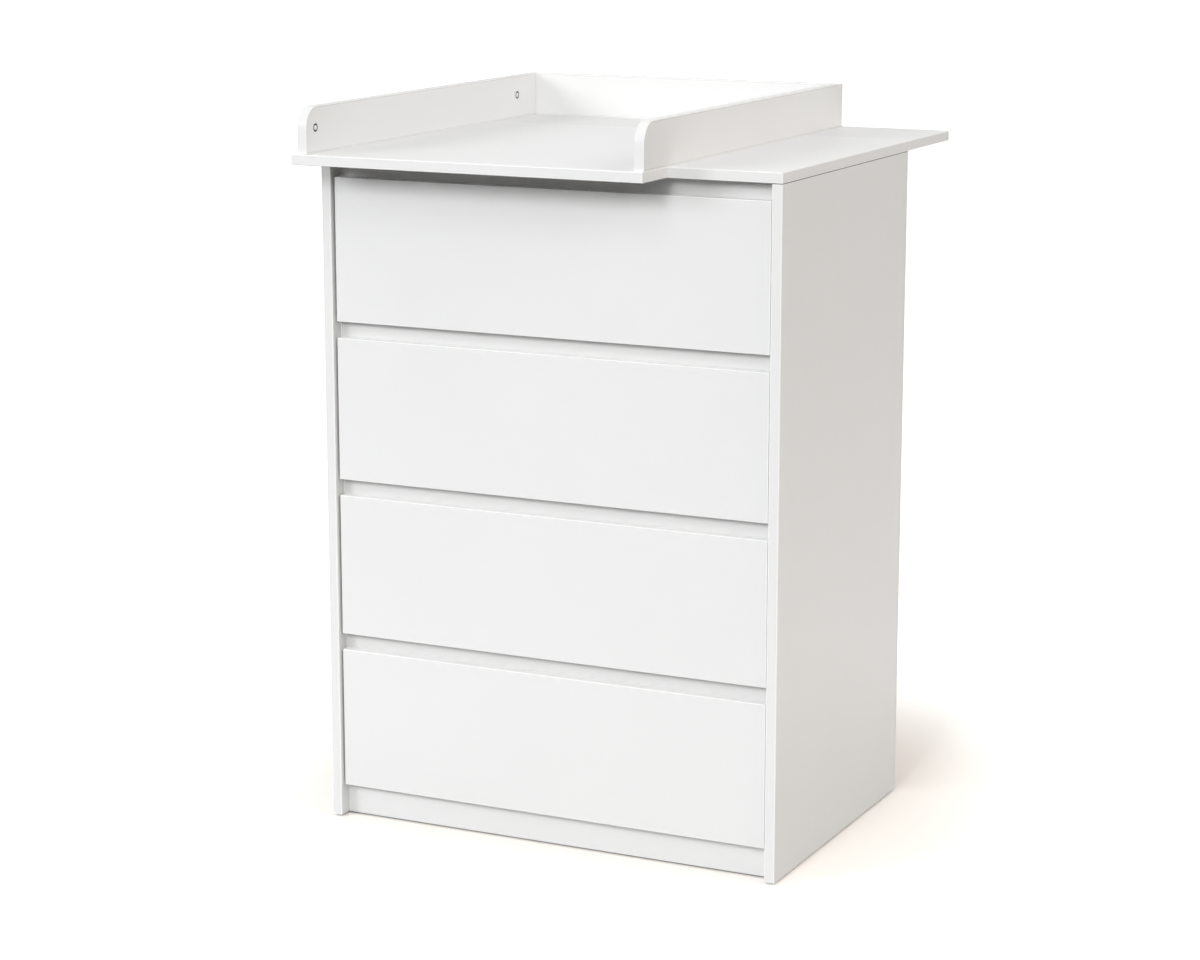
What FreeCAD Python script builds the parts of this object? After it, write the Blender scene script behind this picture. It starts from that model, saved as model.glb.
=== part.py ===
import FreeCAD, Part
import math
import os
from FreeCAD import Placement, Rotation, Vector

# Changing dresser: a flat-pack chest of four drawers with a changing tray on top.
# The model is drawn with X = 0 on the outer face of the left side panel, Y = 0 on the front
# edges of the side panels (+Y to the rear) and Z = 0 on the floor, and every node is moved at
# the end so that the origin is at the centre of the footprint. Millimetres throughout.

# ---- carcass ----
carcass_width = 700.0        # over both side panels
side_depth = 475.0           # side panel, front edge to rear edge
board = 15.0                 # thickness of the carcass boards, the tray rails and the fronts
edge_ease = 1.0              # rounding along the edges of the boards
plinth_reveal = 46.0         # foot of the side panels to the lowest drawer front
stretcher_top_height = 70.0
stretcher_bottom_height = 60.0
back_thickness = 3.0
back_inset = 2.0             # back panel, set in from the carcass outline

# ---- drawer fronts and the rails behind their gaps ----
drawer_count = 4
front_height = 205.0
finger_gap = 23.5            # open height above each front
front_recess = 6.0           # fronts set back from the front edges of the side panels
front_side_gap = 3.0
front_rail_gap = 0.5         # closed front to the rails behind it
rail_overlap = 16.0          # how far a rail hides behind a front
grip_bevel_depth = 9.0       # bevel on the lower rear edge of a front, for the fingers
grip_bevel_height = 16.0

# ---- changing top ----
tongue_width = 536.0         # part of the top that overhangs the drawers
tongue_overhang = 75.0
top_left_overhang = 3.0      # top boards, past the left side panel
seam_margin = 2.0            # top board, from the back panel on to the seam
extension_depth = 170.0      # board behind the seam
tray_rail_height = 65.0
tray_left_inset = 8.0        # tray rails, in from the edges of the top
tray_front_inset = 5.0
tray_rear_inset = 10.0
tray_corner_radius = 30.0

# ---- floor glides ----
glide_height = 3.0
glide_radius = 7.0
glide_pin_radius = 1.5
glide_pin_length = 12.0
glide_front_setback = 75.0
glide_rear_setback = 60.0

# ---- drawer boxes ----
box_board = 12.0             # sides and back
box_height = 150.0
box_drop = 4.0               # back lower than the sides
box_lift_gap = 2.8           # rail to the drawer runner above it
box_rear_clearance = 39.0    # box to the boards at the rear of the carcass
bottom_thickness = 3.0
bottom_rise = 10.0           # groove for the bottom above the lower edge
groove_depth = 5.0
front_groove_depth = 6.0     # groove in the front for the box sides
slot_play = 0.1              # play each side in a groove

# ---- roller runners ----
runner_overlap = 100.0       # length still held when the drawer is open
runner_space = 12.5          # side panel to drawer side
runner_setback = 2.0         # behind the rear face of the front
runner_sheet = 1.2
channel_reach = 10.5         # cabinet channel, out from the side panel
channel_height = 22.0
bend_outer = 2.0
bend_inner = 0.8
roller_radius = 9.5
roller_width = 6.0
roller_play = 0.3            # roller to its track
roller_side_play = 0.2
roller_bore_play = 0.05
axle_radius = 2.5
axle_head_radius = 4.0
axle_head_height = 0.8
front_roller_setback = 14.0  # from the front end of the cabinet runner
rear_roller_setback = 12.0   # from the rear end of the drawer runner
flange_gap = 0.5             # drawer flange above the cabinet channel
flange_edge_gap = 1.8        # drawer flange to the side panel
foot_flange_reach = 11.5     # drawer runner under the drawer side
channel_cutback = 45.0       # top flange of the channel, cut away round the front roller
stop_height = 4.0
stop_length = 5.0

# ---- screws and nails ----
screw_radius = 1.75
screw_play = 0.05
screw_head_radius = 3.2
screw_head_height = 0.6
panel_screw_depth = 12.0
foot_screw_depth = 8.5
box_screw_length = 30.0
box_screw_head_depth = 1.5
runner_screw_inset = 37.0    # first and last screw from the ends of a runner
nail_radius = 0.8
nail_head_radius = 2.0
nail_head_height = 0.5
nail_depth = 12.0

# ---- dowels and cam joints ----
dowel_radius = 3.0
dowel_play = 0.1
dowel_end_gap = 0.5
dowel_face_depth = 10.0      # into the face of a board
dowel_edge_depth = 20.0      # into the edge of a board
cam_radius = 6.0
cam_play = 0.1
cam_bore_depth = 11.0
cam_recess = 0.4             # cam below the face of its board
cam_reach = 35.0             # joint to the centre of the cam
cam_slot_length = 5.6
cam_slot_width = 1.4
cam_slot_depth = 2.0
bolt_thread_radius = 2.5
bolt_thread_depth = 11.0
bolt_stem_radius = 3.0
bolt_neck_radius = 1.9
bolt_neck_length = 7.0
bolt_head_radius = 3.1
bolt_head_length = 3.0
bolt_play = 0.2
cap_radius = 3.2
cap_height = 0.6
cap_ease = 0.3
fixing_spread = 10.0         # cam bolt and dowel, above and below the middle of a rail end
cutter_margin = 1.0          # cutters run on past the faces that they open
near_enough = 1e-6

# ---- fixing positions, measured along Y unless the name says otherwise ----
top_cam_setbacks = (90.0, 85.0)    # from the front and rear edges of the side panels
top_dowel_setbacks = (50.0, 45.0)
tray_cam_front_setback = 25.0      # from the front end of a tray rail
tray_cam_rear_setback = 78.0       # from its rear end
tray_dowel_positions = (0.0, 240.0)
tray_dowel_rear_setback = 45.0
back_rail_cam_inset = 100.0        # along X, from the ends of the back rail
seam_cam_inset = 100.0             # along X, from the ends of the seam
seam_dowel_insets = (40.0, 233.0)
back_rail_dowel_heights = (18.0, 47.0)
box_screw_heights = (45.0, 115.0)
nail_edge_inset = 100.0
nail_rows = 5

# ---- derived: planes shared by the pieces ----
pitch = front_height + finger_gap
side_height = plinth_reveal + drawer_count * pitch
side_foot = glide_height
side_top = side_foot + side_height
top_face = side_top + board
inner_left = board
inner_right = carcass_width - board
inner_width = inner_right - inner_left
front_back_face = front_recess + board
rail_face = front_back_face + front_rail_gap
main_top_depth = side_depth + back_thickness + seam_margin
rear_edge = main_top_depth + extension_depth
top_left = -top_left_overhang
tongue_right = top_left + tongue_width
tray_rail_front = tray_front_inset - tongue_overhang
tray_rail_rear = rear_edge - tray_rear_inset
tray_left_outer = top_left + tray_left_inset
tray_left_inner = tray_left_outer + board
tray_right_outer = tongue_right
tray_right_inner = tray_right_outer - board
tray_back_front = tray_rail_rear - board
box_lift = rail_overlap + runner_sheet + box_lift_gap
box_left = inner_left + runner_space
box_right = inner_right - runner_space
box_rear = side_depth - board - box_rear_clearance
runner_front = front_back_face + runner_setback
runner_rear = box_rear
drawer_travel = runner_rear - front_back_face - runner_overlap
flange_bottom = channel_height + flange_gap
axle_of_front_roller = flange_bottom - roller_play - roller_radius
axle_of_rear_roller = runner_sheet + roller_play + roller_radius
front_roller_y = runner_front + front_roller_setback
rear_roller_y = runner_rear - rear_roller_setback
middle = carcass_width / 2
centre_of_footprint = Vector((top_left + carcass_width) / 2, (rear_edge - tongue_overhang) / 2, 0)

solids = {}
cutters = {}


def add(node, *shapes):
    solids.setdefault(node, []).extend(shapes)


def drill(node, *shapes):
    cutters.setdefault(node, []).extend(shapes)


def block(x0, x1, y0, y1, z0, z1):
    return Part.makeBox(x1 - x0, y1 - y0, z1 - z0, Vector(x0, y0, z0))


def rod(start, direction, length, radius):
    return Part.makeCylinder(radius, length, start, direction)


def prism(corners, sweep):
    """Extrudes a closed flat outline of corner points."""
    return Part.Face(Part.makePolygon(corners + corners[:1])).extrude(sweep)


def eased(shape, radius=edge_ease):
    return shape.makeFillet(radius, shape.Edges)


def mirrored(shape):
    """The same piece on the other side of the chest."""
    return shape.mirror(Vector(middle, 0, 0), Vector(1, 0, 0))


def edges_along(shape, axis, spots):
    """Straight edges along an axis that pass through one of the given spots of the section."""
    across = [i for i in range(3) if i != axis]
    found = []
    for edge in shape.Edges:
        low, high = edge.Vertexes[0].Point, edge.Vertexes[-1].Point
        if abs(high[axis] - low[axis]) < edge.Length - near_enough:
            continue
        for spot in spots:
            if all(abs(low[i] - want) < near_enough for i, want in zip(across, spot)):
                found.append(edge)
    return found


# ---- joints between boards ----

def dowel(node_a, node_b, joint, into_b, depth_a, depth_b):
    """A dowel across the joint plane: depth_a into the first board and depth_b into the second."""
    radius = dowel_radius + dowel_play
    drill(node_a, rod(joint, -into_b, depth_a, radius))
    drill(node_b, rod(joint, into_b, depth_b, radius))
    start = joint - into_b * (depth_a - dowel_end_gap)
    add("dowels", rod(start, into_b, depth_a + depth_b - 2 * dowel_end_gap, dowel_radius))


def make_bolt():
    """Cam bolt along +X, with X = 0 where its collar meets the face of the threaded board."""
    head_front = cam_reach - bolt_head_length / 2
    neck_start = head_front - bolt_neck_length
    outline = [
        Vector(-bolt_thread_depth + bolt_play, 0, 0),
        Vector(-bolt_thread_depth + bolt_play, 0, bolt_thread_radius),
        Vector(0, 0, bolt_thread_radius),
        Vector(0, 0, bolt_stem_radius),
        Vector(neck_start, 0, bolt_stem_radius),
        Vector(neck_start, 0, bolt_neck_radius),
        Vector(head_front, 0, bolt_neck_radius),
        Vector(head_front, 0, bolt_head_radius),
        Vector(head_front + bolt_head_length, 0, bolt_head_radius),
        Vector(head_front + bolt_head_length, 0, 0),
    ]
    face = Part.Face(Part.makePolygon(outline + outline[:1]))
    return face.revolve(Vector(0, 0, 0), Vector(1, 0, 0), 360)


def make_cam():
    """Cam with its axis along Z through (cam_reach, 0, 0), open towards the bolt at -X."""
    bottom = board / 2 - cam_bore_depth
    face = board / 2 - cam_recess
    cam = rod(Vector(cam_reach, 0, bottom), Vector(0, 0, 1), face - bottom, cam_radius)
    neck = bolt_neck_radius + bolt_play
    head = bolt_head_radius + bolt_play
    half = bolt_head_length / 2 + bolt_play
    mouth = block(cam_reach - 2 * cam_radius, cam_reach, -neck, neck, -neck, neck)
    chamber = block(cam_reach - half, cam_reach + half, -head, head, -head, head)
    wide = cam_slot_length / 2
    narrow = cam_slot_width / 2
    low = face - cam_slot_depth
    high = face + cutter_margin
    cross_a = block(cam_reach - wide, cam_reach + wide, -narrow, narrow, low, high)
    cross_b = block(cam_reach - narrow, cam_reach + narrow, -wide, wide, low, high)
    return cam.cut([mouth, chamber, cross_a, cross_b])


def make_cap():
    """Cover cap that plugs into the cross slot of a cam."""
    seat = board / 2 - cam_recess
    disc = rod(Vector(cam_reach, 0, seat), Vector(0, 0, 1), cap_height, cap_radius)
    rim = [edge for edge in disc.Edges if abs(edge.BoundBox.ZMin - seat - cap_height) < near_enough]
    return disc.makeFillet(cap_ease, rim)


bolt_shape = make_bolt()
cam_shape = make_cam()
cap_shape = make_cap()


def cam_joint(bolt_node, cam_node, joint, into_cam, cam_side, capped=False):
    """Bolt in the face or edge of one board, and its cam in the other board.

    joint is the point on the joint plane, into_cam the direction from the bolt's board into the
    cam's board, and cam_side the direction in which the cam's bore opens.
    """
    turn = Rotation(into_cam, cam_side.cross(into_cam), cam_side, "XYZ")
    place = Placement(joint, turn)

    def placed(shape):
        moved = shape.copy()
        moved.Placement = place
        return moved

    floor_of_bore = board / 2 - cam_bore_depth
    bore = rod(Vector(cam_reach, 0, floor_of_bore), Vector(0, 0, 1), cam_bore_depth, cam_radius + cam_play)
    stem_hole = rod(Vector(0, 0, 0), Vector(1, 0, 0), cam_reach, bolt_stem_radius + bolt_play)
    thread_hole = rod(Vector(0, 0, 0), Vector(-1, 0, 0), bolt_thread_depth, bolt_thread_radius + screw_play)
    drill(cam_node, placed(bore), placed(stem_hole))
    drill(bolt_node, placed(thread_hole))
    add("cam_bolts", placed(bolt_shape))
    add("cam_locks", placed(cam_shape))
    if capped:
        add("cam_caps", placed(cap_shape))


# ---- carcass boards ----

def side_panels():
    panel = eased(block(0, board, 0, side_depth, side_foot, side_top))
    add("side_panel_left", panel)
    add("side_panel_right", mirrored(panel))


def top_boards():
    outline = [
        Vector(top_left, -tongue_overhang, side_top),
        Vector(tongue_right, -tongue_overhang, side_top),
        Vector(tongue_right, 0, side_top),
        Vector(carcass_width, 0, side_top),
        Vector(carcass_width, main_top_depth, side_top),
        Vector(top_left, main_top_depth, side_top),
    ]
    main = prism(outline, Vector(0, 0, board))
    inner_corner = edges_along(main, 2, [(tongue_right, 0)])
    rounded = [edge for edge in main.Edges if not any(edge.isSame(other) for other in inner_corner)]
    add("top_board", main.makeFillet(edge_ease, rounded))
    extension = block(top_left, carcass_width, main_top_depth, rear_edge, side_top, top_face)
    add("rear_extension_board", eased(extension))


def tray_rails():
    blank = block(tray_left_outer, tray_left_inner, tray_rail_front, tray_rail_rear,
                  top_face, top_face + tray_rail_height)
    corner = edges_along(blank, 0, [(tray_rail_front, top_face + tray_rail_height)])
    left = eased(blank.makeFillet(tray_corner_radius, corner))
    add("tray_rail_left", left)
    right = left.copy()
    right.translate(Vector(tray_right_inner - tray_left_outer, 0, 0))
    add("tray_rail_right", right)
    back = block(tray_left_inner, tray_right_inner, tray_back_front, tray_rail_rear,
                 top_face, top_face + tray_rail_height)
    add("tray_rail_back", eased(back))


def rail_levels():
    """Node name, underside and top of each board between the side panels, front and rear."""
    levels = {}
    for number in range(1, drawer_count + 1):
        gap_top = side_top - (number - 1) * pitch
        gap_bottom = gap_top - finger_gap
        top = gap_top if number == 1 else gap_top + rail_overlap
        levels["crossrail_%d" % number] = (gap_bottom - rail_overlap, top)
    levels["plinth_board"] = (side_foot, side_foot + plinth_reveal + rail_overlap)
    levels["rear_stretcher_top"] = (side_top - stretcher_top_height, side_top)
    levels["rear_stretcher_bottom"] = (side_foot, side_foot + stretcher_bottom_height)
    return levels


def cross_boards():
    for node, (low, high) in rail_levels().items():
        at_rear = node.startswith("rear")
        near = side_depth - board if at_rear else rail_face
        add(node, eased(block(inner_left, inner_right, near, near + board, low, high)))
        cam_side = Vector(0, -1, 0) if at_rear else Vector(0, 1, 0)
        centre = near + board / 2
        level = (low + high) / 2
        for panel, x, inwards in (("side_panel_left", inner_left, Vector(1, 0, 0)),
                                  ("side_panel_right", inner_right, Vector(-1, 0, 0))):
            cam_joint(panel, node, Vector(x, centre, level + fixing_spread), inwards, cam_side)
            dowel(panel, node, Vector(x, centre, level - fixing_spread), inwards,
                  dowel_face_depth, dowel_edge_depth)


def back_panel():
    add("back_panel", block(back_inset, carcass_width - back_inset, side_depth,
                            side_depth + back_thickness, side_foot + back_inset, side_top - back_inset))
    levels = rail_levels()
    places = []
    step = (side_height - 2 * nail_edge_inset) / (nail_rows - 1)
    for row in range(nail_rows):
        z = side_foot + nail_edge_inset + row * step
        places += [(board / 2, z), (carcass_width - board / 2, z)]
    for node in ("rear_stretcher_top", "rear_stretcher_bottom"):
        z = sum(levels[node]) / 2
        places += [(nail_edge_inset, z), (middle, z), (carcass_width - nail_edge_inset, z)]
    for x, z in places:
        face = side_depth + back_thickness
        shank = rod(Vector(x, face, z), Vector(0, -1, 0), back_thickness + nail_depth, nail_radius)
        head = rod(Vector(x, face, z), Vector(0, 1, 0), nail_head_height, nail_head_radius)
        hole = rod(Vector(x, face, z), Vector(0, -1, 0), back_thickness + nail_depth,
                   nail_radius + screw_play)
        add("back_panel_nails", shank.fuse(head).removeSplitter())
        for node in ("back_panel", "side_panel_left", "side_panel_right",
                     "rear_stretcher_top", "rear_stretcher_bottom"):
            if hole.BoundBox.intersect(solids[node][0].BoundBox):
                drill(node, hole)


def top_fixings():
    """Side panels to the top board, the seam, and the tray rails to both top boards."""
    up = Vector(0, 0, 1)
    for panel, x, inwards in (("side_panel_left", board / 2, Vector(1, 0, 0)),
                              ("side_panel_right", carcass_width - board / 2, Vector(-1, 0, 0))):
        for y in (top_cam_setbacks[0], side_depth - top_cam_setbacks[1]):
            cam_joint("top_board", panel, Vector(x, y, side_top), -up, inwards)
        for y in (top_dowel_setbacks[0], side_depth - top_dowel_setbacks[1]):
            dowel("top_board", panel, Vector(x, y, side_top), -up, dowel_face_depth, dowel_edge_depth)

    seam = Vector(0, main_top_depth, side_top + board / 2)
    rearwards = Vector(0, 1, 0)
    for x in (seam_cam_inset, middle, carcass_width - seam_cam_inset):
        cam_joint("top_board", "rear_extension_board", seam + Vector(x, 0, 0), rearwards, -up)
    for inset in seam_dowel_insets:
        for x in (inset, carcass_width - inset):
            dowel("top_board", "rear_extension_board", seam + Vector(x, 0, 0), rearwards,
                  dowel_edge_depth, dowel_edge_depth)

    front_cam = tray_rail_front + tray_cam_front_setback
    rear_cam = tray_rail_rear - tray_cam_rear_setback
    rear_dowel = tray_rail_rear - tray_dowel_rear_setback
    for rail, x, inwards in (("tray_rail_left", tray_left_outer + board / 2, Vector(1, 0, 0)),
                             ("tray_rail_right", tray_right_outer - board / 2, Vector(-1, 0, 0))):
        for y in (front_cam, rear_cam):
            below = "top_board" if y < main_top_depth else "rear_extension_board"
            cam_joint(below, rail, Vector(x, y, top_face), up, inwards, capped=True)
        for y in tray_dowel_positions + (rear_dowel,):
            below = "top_board" if y < main_top_depth else "rear_extension_board"
            dowel(below, rail, Vector(x, y, top_face), up, dowel_face_depth, dowel_edge_depth)

    centre = tray_back_front + board / 2
    for x in (tray_left_inner + back_rail_cam_inset, tray_right_inner - back_rail_cam_inset):
        cam_joint("rear_extension_board", "tray_rail_back", Vector(x, centre, top_face), up,
                  rearwards, capped=True)
    for rail, x, inwards in (("tray_rail_left", tray_left_inner, Vector(1, 0, 0)),
                             ("tray_rail_right", tray_right_inner, Vector(-1, 0, 0))):
        for height in back_rail_dowel_heights:
            dowel(rail, "tray_rail_back", Vector(x, centre, top_face + height), inwards,
                  dowel_face_depth, dowel_edge_depth)


def floor_glides():
    for x in (board / 2, carcass_width - board / 2):
        for y in (glide_front_setback, side_depth - glide_rear_setback):
            pad = rod(Vector(x, y, 0), Vector(0, 0, 1), glide_height, glide_radius)
            foot = [edge for edge in pad.Edges if edge.BoundBox.ZMax < near_enough]
            pad = pad.makeFillet(edge_ease, foot)
            pin = rod(Vector(x, y, 0), Vector(0, 0, 1), glide_height + glide_pin_length, glide_pin_radius)
            add("floor_glides", pad.fuse(pin).removeSplitter())
            panel = "side_panel_left" if x < middle else "side_panel_right"
            drill(panel, rod(Vector(x, y, side_foot), Vector(0, 0, 1), glide_pin_length,
                             glide_pin_radius + screw_play))


# ---- roller runners, drawn for the left side of a drawer whose box stands on Z = 0 ----

def wrap(corners, outer_spots, inner_spots, y0, y1):
    """A bent sheet profile: extruded along Y, then rounded at its bends."""
    shape = prism([Vector(x, y0, z) for x, z in corners], Vector(0, y1 - y0, 0))
    shape = shape.makeFillet(bend_outer, edges_along(shape, 1, outer_spots))
    return shape.makeFillet(bend_inner, edges_along(shape, 1, inner_spots))


def screw_stations():
    """Y of the three screws of a runner."""
    first = runner_front + runner_screw_inset
    last = runner_rear - runner_screw_inset
    return first, (first + last) / 2, last


def cabinet_runner():
    wall = inner_left
    sheet = wall + runner_sheet
    reach = wall + channel_reach
    top = channel_height
    low_inside = runner_sheet
    top_inside = channel_height - runner_sheet
    corners = [(wall, 0), (reach, 0), (reach, low_inside), (sheet, low_inside), (sheet, top_inside),
               (reach, top_inside), (reach, top), (wall, top)]
    channel = wrap(corners, [(wall, 0), (wall, top)], [(sheet, low_inside), (sheet, top_inside)],
                   runner_front, runner_rear)
    cutaway = block(sheet, reach + cutter_margin,
                    runner_front - cutter_margin, runner_front + channel_cutback,
                    axle_of_front_roller, top + cutter_margin)
    channel = channel.cut(cutaway)
    rolled_back = rear_roller_y - drawer_travel
    drop = roller_radius - stop_height + roller_play
    contact = math.sqrt(roller_radius ** 2 - drop ** 2)
    stop_face = rolled_back - contact - roller_play
    stop = block(sheet, reach, stop_face - stop_length, stop_face, 0, low_inside + stop_height)
    axle = rod(Vector(wall, front_roller_y, axle_of_front_roller), Vector(1, 0, 0),
               runner_sheet + 2 * roller_side_play + roller_width, axle_radius)
    head_at = sheet + 2 * roller_side_play + roller_width
    head = rod(Vector(head_at, front_roller_y, axle_of_front_roller), Vector(1, 0, 0),
               axle_head_height, axle_head_radius)
    runner = channel.fuse([stop, axle, head]).removeSplitter()
    holes = [rod(Vector(wall, y, channel_height / 2), Vector(1, 0, 0), runner_sheet,
                 screw_radius + screw_play) for y in screw_stations()]
    return runner.cut(holes)


def drawer_runner():
    side = box_left
    web = side - runner_sheet
    foot = side + foot_flange_reach
    edge = inner_left + flange_edge_gap
    top = flange_bottom + runner_sheet
    corners = [(web, -runner_sheet), (foot, -runner_sheet), (foot, 0), (side, 0), (side, top),
               (edge, top), (edge, flange_bottom), (web, flange_bottom)]
    angle = wrap(corners, [(web, -runner_sheet), (side, top)], [(web, flange_bottom)],
                 runner_front, runner_rear)
    roller_inner = web - roller_side_play
    head_at = roller_inner - roller_width - roller_side_play
    axle = rod(Vector(side, rear_roller_y, axle_of_rear_roller), Vector(-1, 0, 0),
               side - head_at, axle_radius)
    head = rod(Vector(head_at, rear_roller_y, axle_of_rear_roller), Vector(-1, 0, 0),
               axle_head_height, axle_head_radius)
    runner = angle.fuse([axle, head]).removeSplitter()
    centre = side + box_board / 2
    holes = [rod(Vector(centre, y, -runner_sheet), Vector(0, 0, 1), runner_sheet,
                 screw_radius + screw_play) for y in screw_stations()]
    return runner.cut(holes)


def roller(x, y, z):
    """A roller on an axle along X, with x at its left face."""
    wheel = rod(Vector(x, y, z), Vector(1, 0, 0), roller_width, roller_radius)
    wheel = wheel.makeFillet(edge_ease, [edge for edge in wheel.Edges if len(edge.Vertexes) == 1])
    return wheel.cut(rod(Vector(x, y, z), Vector(1, 0, 0), roller_width, axle_radius + roller_bore_play))


def front_roller():
    return roller(inner_left + runner_sheet + roller_side_play, front_roller_y, axle_of_front_roller)


def rear_roller():
    web = box_left - runner_sheet
    return roller(web - roller_side_play - roller_width, rear_roller_y, axle_of_rear_roller)


def screw(start, into, length):
    """Pan-head screw: its head stands out of the surface at start."""
    shank = rod(start, into, length, screw_radius)
    head = rod(start, -into, screw_head_height, screw_head_radius)
    return shank.fuse(head).removeSplitter()


def sunk_screw(start, into, length):
    """Screw whose flat head is sunk flush with the surface at start."""
    shank = rod(start, into, length, screw_radius)
    head = rod(start, into, box_screw_head_depth, screw_head_radius)
    return shank.fuse(head).removeSplitter()


def sunk_hole(start, into, length):
    hole = rod(start, into, length, screw_radius + screw_play)
    seat = rod(start, into, box_screw_head_depth, screw_head_radius + screw_play)
    return hole.fuse(seat)


# ---- drawers ----

def raised(shape, z):
    moved = shape.copy()
    moved.translate(Vector(0, 0, z))
    return moved


def drawer(number):
    """One drawer with its runners and rollers, number 1 at the top."""
    front_low = side_top - finger_gap - front_height - (number - 1) * pitch
    front_top = front_low + front_height
    box_low = front_low + box_lift
    name = {piece: "drawer_%s_%d" % (piece, number)
            for piece in ("front", "side_left", "side_right", "back", "bottom",
                          "runners", "rollers", "screws")}

    section = [
        Vector(0, front_recess, front_low),
        Vector(0, front_back_face - grip_bevel_depth, front_low),
        Vector(0, front_back_face, front_low + grip_bevel_height),
        Vector(0, front_back_face, front_top),
        Vector(0, front_recess, front_top),
    ]
    front = prism(section, Vector(inner_width - 2 * front_side_gap, 0, 0))
    front.translate(Vector(inner_left + front_side_gap, 0, 0))
    add(name["front"], eased(front))

    side_front = front_back_face - front_groove_depth + slot_play
    side = eased(block(box_left, box_left + box_board, side_front, box_rear,
                       box_low, box_low + box_height))
    groove_low = box_low + bottom_rise
    groove_high = groove_low + bottom_thickness + 2 * slot_play
    groove_outer = box_left + box_board - groove_depth
    groove_front = front_back_face - groove_depth
    groove = block(groove_outer, carcass_width - groove_outer, groove_front, box_rear + cutter_margin,
                   groove_low, groove_high)
    add(name["side_left"], side)
    add(name["side_right"], mirrored(side))
    for piece in ("side_left", "side_right", "front"):
        drill(name[piece], groove)
    side_slot = block(box_left - slot_play, box_left + box_board + slot_play,
                      front_back_face - front_groove_depth, front_back_face + cutter_margin,
                      box_low - slot_play, box_low + box_height + slot_play)
    drill(name["front"], side_slot, mirrored(side_slot))

    bottom = block(groove_outer + slot_play, carcass_width - groove_outer - slot_play,
                   groove_front + slot_play, box_rear, groove_low + slot_play, groove_high - slot_play)
    add(name["bottom"], bottom)
    back = block(box_left + box_board, box_right - box_board, box_rear - box_board, box_rear,
                 groove_high - slot_play, box_low + box_height - box_drop)
    add(name["back"], eased(back))

    for height in box_screw_heights:
        start = Vector(box_left, box_rear - box_board / 2, box_low + height)
        hole = sunk_hole(start, Vector(1, 0, 0), box_screw_length)
        fixing = sunk_screw(start, Vector(1, 0, 0), box_screw_length)
        add(name["screws"], fixing, mirrored(fixing))
        drill(name["side_left"], hole)
        drill(name["side_right"], mirrored(hole))
        drill(name["back"], hole, mirrored(hole))

    for node, shape in ((name["runners"], drawer_runner()), (name["rollers"], rear_roller()),
                        ("cabinet_runners", cabinet_runner()),
                        ("cabinet_rollers_%d" % number, front_roller())):
        part = raised(shape, box_low)
        add(node, part, mirrored(part))

    for y in screw_stations():
        start = Vector(inner_left + runner_sheet, y, box_low + channel_height / 2)
        fixing = screw(start, Vector(-1, 0, 0), runner_sheet + panel_screw_depth)
        add("runner_screws", fixing, mirrored(fixing))
        hole = rod(start, Vector(-1, 0, 0), runner_sheet + panel_screw_depth, screw_radius + screw_play)
        drill("side_panel_left", hole)
        drill("side_panel_right", mirrored(hole))

        start = Vector(box_left + box_board / 2, y, box_low - runner_sheet)
        fixing = screw(start, Vector(0, 0, 1), runner_sheet + foot_screw_depth)
        add(name["screws"], fixing, mirrored(fixing))
        hole = rod(start, Vector(0, 0, 1), runner_sheet + foot_screw_depth, screw_radius + screw_play)
        drill(name["side_left"], hole)
        drill(name["side_right"], mirrored(hole))


def build():
    side_panels()
    top_boards()
    tray_rails()
    cross_boards()
    back_panel()
    top_fixings()
    floor_glides()
    for number in range(1, drawer_count + 1):
        drawer(number)


def write_nodes():
    os.makedirs("parts", exist_ok=True)
    for node, shapes in solids.items():
        if node in cutters:
            shapes = [shape.cut(cutters[node]) for shape in shapes]
        pieces = [solid for shape in shapes for solid in shape.Solids]
        result = pieces[0] if len(pieces) == 1 else Part.makeCompound(pieces)
        result.translate(-centre_of_footprint)
        if not result.isValid():
            print("not valid:", node)
        result.exportStep("parts/%s.step" % node)
        print("%-24s %2d solids" % (node, len(pieces)))


build()
write_nodes()
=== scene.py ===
import bpy
import bmesh
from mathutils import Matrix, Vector


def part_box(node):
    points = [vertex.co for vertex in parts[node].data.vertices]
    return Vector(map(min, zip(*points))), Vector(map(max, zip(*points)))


# A white changing dresser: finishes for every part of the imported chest, then floor, light and camera.
# Metres throughout. The chest stands on z = 0 with its drawers facing -y.

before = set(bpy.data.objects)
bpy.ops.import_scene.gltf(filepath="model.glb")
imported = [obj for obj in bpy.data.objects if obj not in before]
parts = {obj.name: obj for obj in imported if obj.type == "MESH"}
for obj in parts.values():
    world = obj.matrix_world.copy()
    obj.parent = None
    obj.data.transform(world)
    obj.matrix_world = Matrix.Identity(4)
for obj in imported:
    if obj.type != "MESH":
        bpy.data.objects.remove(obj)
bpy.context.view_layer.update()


# Short helpers for node trees. Values that feed a socket are numbers, colours or other sockets.
def feed(tree, socket, value):
    if isinstance(value, bpy.types.NodeSocket):
        tree.links.new(value, socket)
    else:
        socket.default_value = value


def addNode(tree, kind, feeds=None, **settings):
    node = tree.nodes.new(kind)
    for name, value in settings.items():
        setattr(node, name, value)
    for name, value in (feeds or {}).items():
        feed(tree, node.inputs[name], value)
    return node


def calc(tree, operation, *values, clamp=False):
    node = addNode(tree, "ShaderNodeMath", operation=operation, use_clamp=clamp)
    for socket, value in zip(node.inputs, values):
        feed(tree, socket, value)
    return node.outputs[0]


def vectorCalc(tree, operation, *vectors):
    node = addNode(tree, "ShaderNodeVectorMath", operation=operation)
    for socket, value in zip(node.inputs, vectors):
        feed(tree, socket, value)
    return node.outputs["Value" if operation in ("DOT_PRODUCT", "LENGTH") else "Vector"]


def split(tree, vector):
    node = addNode(tree, "ShaderNodeSeparateXYZ", {"Vector": vector})
    return node.outputs["X"], node.outputs["Y"], node.outputs["Z"]


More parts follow.
